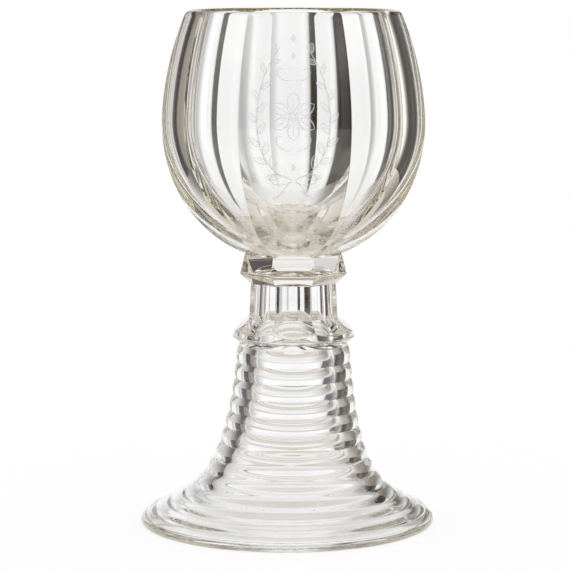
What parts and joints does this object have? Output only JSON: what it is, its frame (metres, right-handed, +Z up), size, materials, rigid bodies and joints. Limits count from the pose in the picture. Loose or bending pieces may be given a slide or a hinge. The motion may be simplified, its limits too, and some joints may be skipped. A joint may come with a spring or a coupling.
{
  "type": "panelled wine goblet",
  "caption": "Stemmed wine glass of thick clear crystal: panelled bowl, collar and hollow stem, pointed stem ring and hollow flared foot of stacked rings.",
  "frame": {"origin": "centre of the ground ring that the foot stands on", "axes": "+Z up along the shaft to the mouth of the bowl; -Y faces the viewer and is square to one flat panel; +X to the viewer's right"},
  "size_m": [0.086, 0.086, 0.15],
  "materials": {
    "foot_glass": "fire polished clear crystal",
    "shaft_glass": "cut and polished clear crystal",
    "bowl_glass": "cut and polished clear crystal with a frosted wheel engraving"
  },
  "bodies": {
    "root": {"foot": "foot_glass", "stem_ring": "shaft_glass", "stem": "shaft_glass", "collar": "shaft_glass", "bowl": "bowl_glass"}
  },
  "joints": []
}
